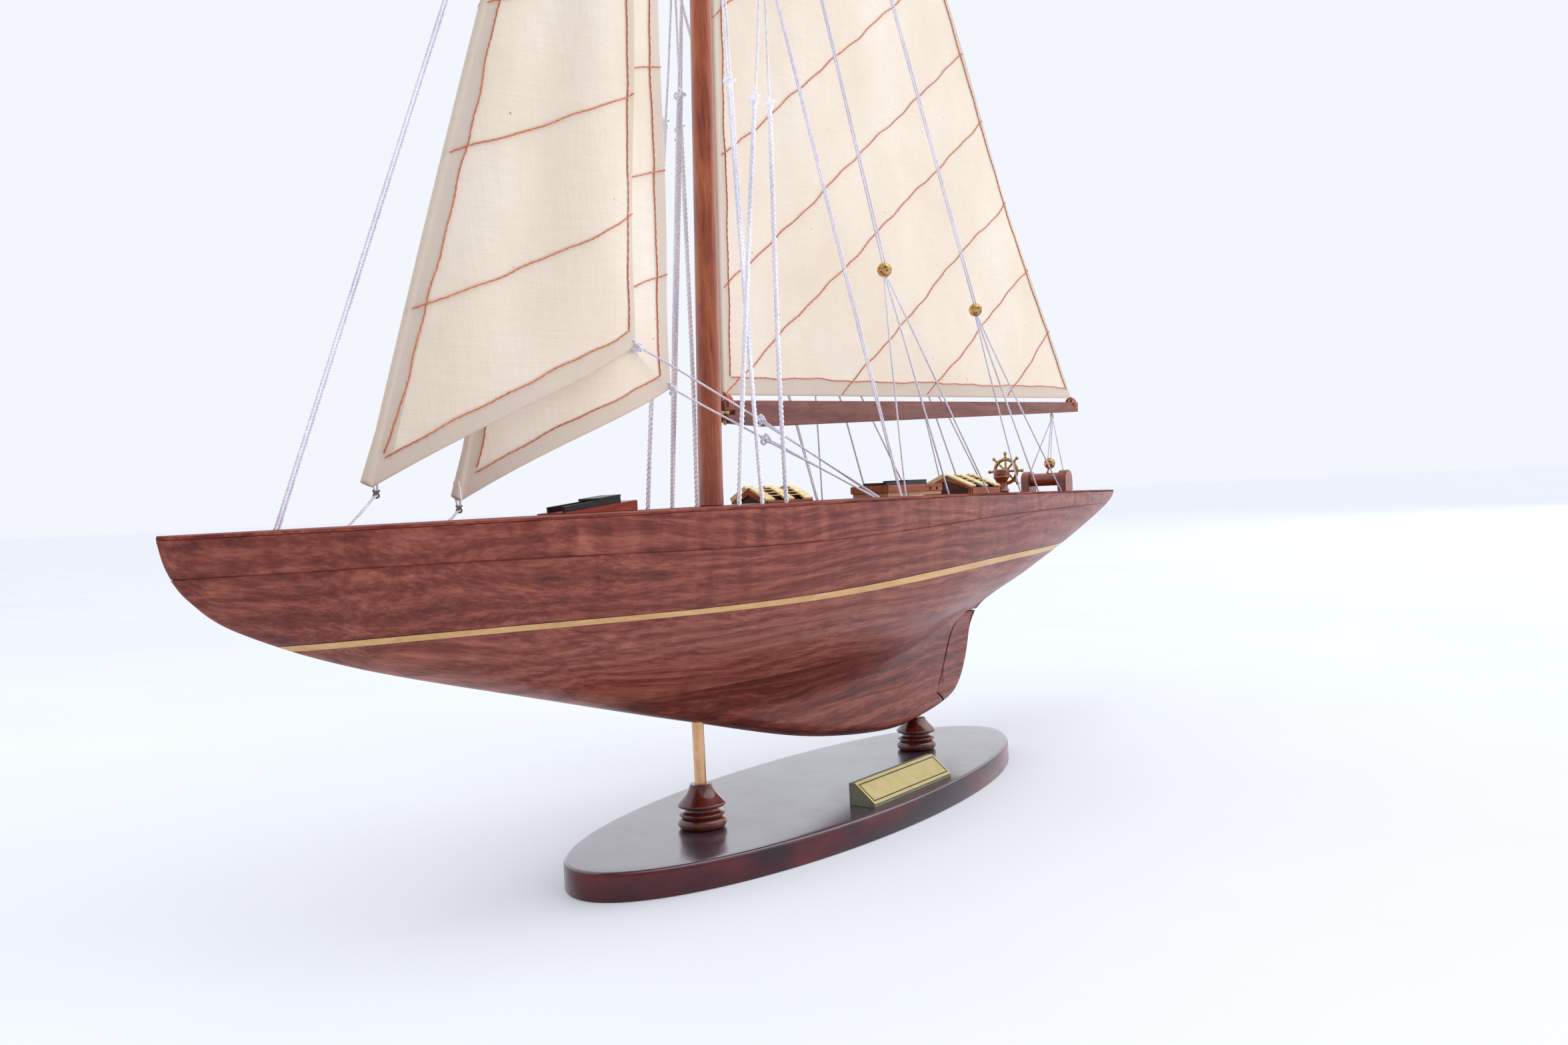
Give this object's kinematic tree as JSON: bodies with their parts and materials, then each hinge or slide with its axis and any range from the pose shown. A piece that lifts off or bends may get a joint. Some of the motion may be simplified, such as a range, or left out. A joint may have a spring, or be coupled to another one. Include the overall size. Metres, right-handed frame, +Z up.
{
  "type": "display model sailing yacht",
  "caption": "Wooden display model of a classic racing yacht: long-keel laminated hull on a turned stand, mast, boom, cloth sails and cord rigging.",
  "frame": {"origin": "centre of the base board's underside", "axes": "+X towards the bow, +Y to port, +Z up"},
  "size_m": [0.5982, 0.099, 0.6908],
  "materials": {
    "hull_mahogany": "satin varnish over reddish-brown mahogany lifts",
    "stripe_wood": "satin varnish over pale yellow inlay",
    "base_wood": "dark espresso stain, satin",
    "turned_wood": "gloss red-brown varnish on turned wood",
    "spar_wood": "gloss orange-brown varnish",
    "boom_wood": "matte purple-brown",
    "deckhouse_wood": "matte reddish-brown",
    "pale_wood": "pale yellow painted wood with small nail heads",
    "black_trim": "satin black",
    "brass": "antique brass",
    "plate_brass": "brushed brass plate, no lettering",
    "sailcloth": "natural cream muslin with orange-red stitching",
    "cordage": "grey-white twisted three-strand cord"
  },
  "bodies": {
    "root": {"keel_lift": "hull_mahogany", "topside_lift": "hull_mahogany", "sheer_lift": "hull_mahogany", "deck": "hull_mahogany", "waterline_stripe": "stripe_wood", "base_board": "base_wood", "fore_post": "turned_wood", "aft_post": "turned_wood", "wheel_pedestal": "turned_wood", "horse_cheeks": "turned_wood", "horse_bar": "turned_wood", "mast": "spar_wood", "lower_spreaders": "spar_wood", "upper_spreaders": "spar_wood", "fore_hatch_ramp": "deckhouse_wood", "companion_house": "deckhouse_wood", "fore_skylight_frame": "deckhouse_wood", "aft_skylight_frame": "deckhouse_wood", "fore_skylight_slats": "pale_wood", "aft_skylight_slats": "pale_wood", "fore_hatch_rails": "black_trim", "companion_rails": "black_trim", "nameplate_block": "black_trim", "fore_rod": "brass", "aft_rod": "brass", "rudder_pin": "brass", "mast_cap": "brass", "gooseneck_eye": "brass", "runner_blocks": "brass", "fore_skylight_bars": "brass", "aft_skylight_bars": "brass", "wheel_axle": "brass", "sheet_block": "brass", "nameplate_plate": "plate_brass", "jib": "sailcloth", "staysail": "sailcloth", "forestay": "cordage", "jib_stay": "cordage", "staysail_stay": "cordage", "shrouds_port": "cordage", "shrouds_starboard": "cordage", "runners_port": "cordage", "runners_starboard": "cordage", "jib_sheet": "cordage", "staysail_sheet": "cordage", "mainsheet": "cordage"},
    "boom": {"boom": "boom_wood", "gooseneck_pin": "brass", "boom_eye": "brass", "mainsail": "sailcloth"},
    "rudder": {"rudder": "hull_mahogany"},
    "wheel": {"ships_wheel": "brass"},
    "fore_hatch_lid": {"fore_hatch_lid": "black_trim"},
    "companion_lid": {"companion_lid": "black_trim"}
  },
  "joints": [
    {"name": "boom_swing", "type": "hinge", "parent": "root", "child": "boom", "pos_m": [0.053, 0, 0.1637], "axis": [-0.0428, 0, 0.9991], "range_deg": [-4, 4]},
    {"name": "rudder_turn", "type": "hinge", "parent": "root", "child": "rudder", "pos_m": [-0.095, 0, 0.033], "axis": [-0.5421, 0, 0.8403], "range_deg": [-20, 20]},
    {"name": "wheel_spin", "type": "hinge", "parent": "root", "child": "wheel", "pos_m": [-0.183, 0, 0.1383], "axis": [1, 0, 0], "continuous": true},
    {"name": "fore_hatch_slide", "type": "slide", "parent": "root", "child": "fore_hatch_lid", "axis": [0.9955, 0, -0.0943], "range_m": [0, 0.014]},
    {"name": "companion_slide", "type": "slide", "parent": "root", "child": "companion_lid", "axis": [1, 0, 0], "range_m": [0, 0.016]}
  ]
}
